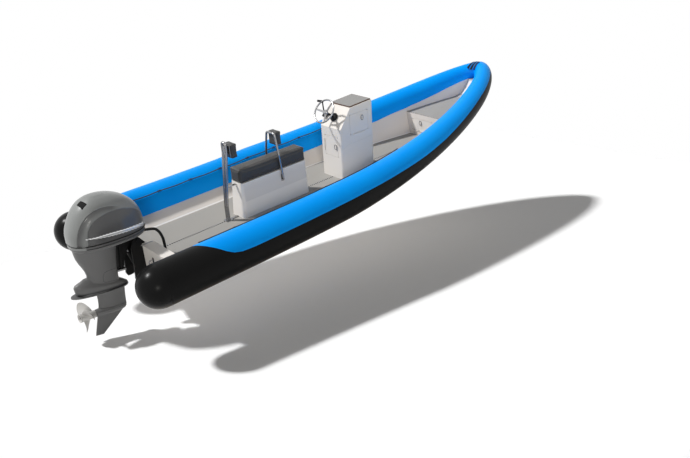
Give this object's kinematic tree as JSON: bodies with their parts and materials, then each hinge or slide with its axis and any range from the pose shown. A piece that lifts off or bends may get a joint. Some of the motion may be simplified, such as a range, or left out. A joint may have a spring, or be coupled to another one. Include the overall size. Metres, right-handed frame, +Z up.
{
  "type": "rigid inflatable boat with outboard motor",
  "caption": "Rigid inflatable boat: V hull, side tubes, console, jockey seat and a tilting, steering outboard motor.",
  "frame": {"origin": "on the centreline at the waterline, at the transom's aft face", "axes": "+X to the bow, +Y to port, +Z up"},
  "size_m": [7.4578, 2.4018, 1.8531],
  "materials": {
    "tube_blue": "blue coated fabric, satin",
    "tube_black": "black coated fabric, satin",
    "hull_white": "white gelcoat",
    "deck_grey": "light grey moulding with non-slip floor",
    "console_white": "white gelcoat",
    "pad_grey": "grey padded vinyl",
    "cushion_dark": "dark grey stitched vinyl",
    "steel_polished": "polished stainless steel",
    "steel_brushed": "satin stainless steel",
    "black_plastic": "black moulded plastic",
    "rubber_black": "black rubber",
    "rope_black": "black braided rope",
    "bracket_black": "black paint on cast aluminium",
    "cowl_grey": "dark grey paint",
    "leg_grey": "dark grey paint",
    "engine_block": "plain casting",
    "propeller_metal": "polished cast stainless steel"
  },
  "bodies": {
    "boat": {"hull": "hull_white", "deck_liner": "deck_grey", "transom": "hull_white", "tube_port_aft": "tube_blue", "tube_port_fore": "tube_blue", "tube_bow": "tube_blue", "tube_starboard_fore": "tube_blue", "tube_starboard_aft": "tube_blue", "cone_port": "tube_black", "cone_starboard": "tube_black", "lifeline_port": "rope_black", "lifeline_starboard": "rope_black", "bow_patch": "rubber_black", "bow_locker": "deck_grey", "console_body": "console_white", "console_top_pad": "pad_grey", "helm_boss": "black_plastic", "throttle_control": "black_plastic", "seat_pod": "console_white", "seat_cushion": "cushion_dark", "mid_backrest_frame": "steel_polished", "mid_backrest_pad": "cushion_dark", "rear_backrest_frame": "steel_polished", "rear_backrest_pad": "cushion_dark", "rigging_hose": "rubber_black", "hose_deck_boot": "rubber_black", "towing_eye_port": "steel_brushed", "towing_eye_starboard": "steel_brushed", "bow_eye": "steel_brushed", "clamp_bracket": "bracket_black", "tilt_cylinder": "steel_brushed"},
    "swivel": {"swivel_bracket": "bracket_black"},
    "rod": {"tilt_rod": "steel_polished"},
    "motor": {"steering_shaft": "bracket_black", "lower_cowl": "cowl_grey", "top_cowl": "cowl_grey", "powerhead": "engine_block", "midsection": "leg_grey", "gearcase": "leg_grey"},
    "screw": {"propeller": "propeller_metal"},
    "helm_wheel": {"steering_wheel": "steel_polished"},
    "side_hatch": {"console_side_hatch": "console_white"},
    "aft_hatch": {"console_aft_hatch": "console_white"},
    "locker_hatch": {"bow_locker_hatch": "hull_white"}
  },
  "joints": [
    {"name": "motor_tilt", "type": "hinge", "parent": "boat", "child": "swivel", "pos_m": [-0.05, 0, 0.345], "axis": [0, 1, 0], "range_deg": [-9, 53], "deforming": ["rigging_hose"]},
    {"name": "motor_steer", "type": "hinge", "parent": "swivel", "child": "motor", "pos_m": [-0.19888, 0, 0.36328], "axis": [0.1219, 0, 0.9925], "range_deg": [-30, 30], "deforming": ["rigging_hose"]},
    {"name": "propeller_spin", "type": "hinge", "parent": "motor", "child": "screw", "pos_m": [-0.74302, 0, -0.37592], "axis": [-0.9925, 0, 0.1219], "continuous": true},
    {"name": "tilt_rod_slide", "type": "slide", "parent": "boat", "child": "rod", "axis": [-0.2686, 0, 0.9633], "range_m": [-0.019, 0.1115]},
    {"name": "steering_wheel_turn", "type": "hinge", "parent": "boat", "child": "helm_wheel", "pos_m": [2.96291, 0, 1.0324], "axis": [-0.807, 0, 0.5906], "range_deg": [-720, 720]},
    {"name": "side_hatch_hinge", "type": "hinge", "parent": "boat", "child": "side_hatch", "pos_m": [3.41, -0.205, 0.656], "axis": [1, 0, 0], "range_deg": [0, 100]},
    {"name": "aft_hatch_hinge", "type": "hinge", "parent": "boat", "child": "aft_hatch", "pos_m": [3.055, 0.134, 0.515], "axis": [0, 0, -1], "range_deg": [0, 110]},
    {"name": "locker_hatch_hinge", "type": "hinge", "parent": "boat", "child": "locker_hatch", "pos_m": [5.09, 0.105, 0.131], "axis": [0, -1, 0], "range_deg": [0, 100]}
  ],
  "couplings": [
    {"joint": "tilt_rod_slide", "follows": "motor_tilt", "m_per_rad": 0.12},
    {"joint": "steering_wheel_turn", "follows": "motor_steer", "ratio": -24}
  ]
}
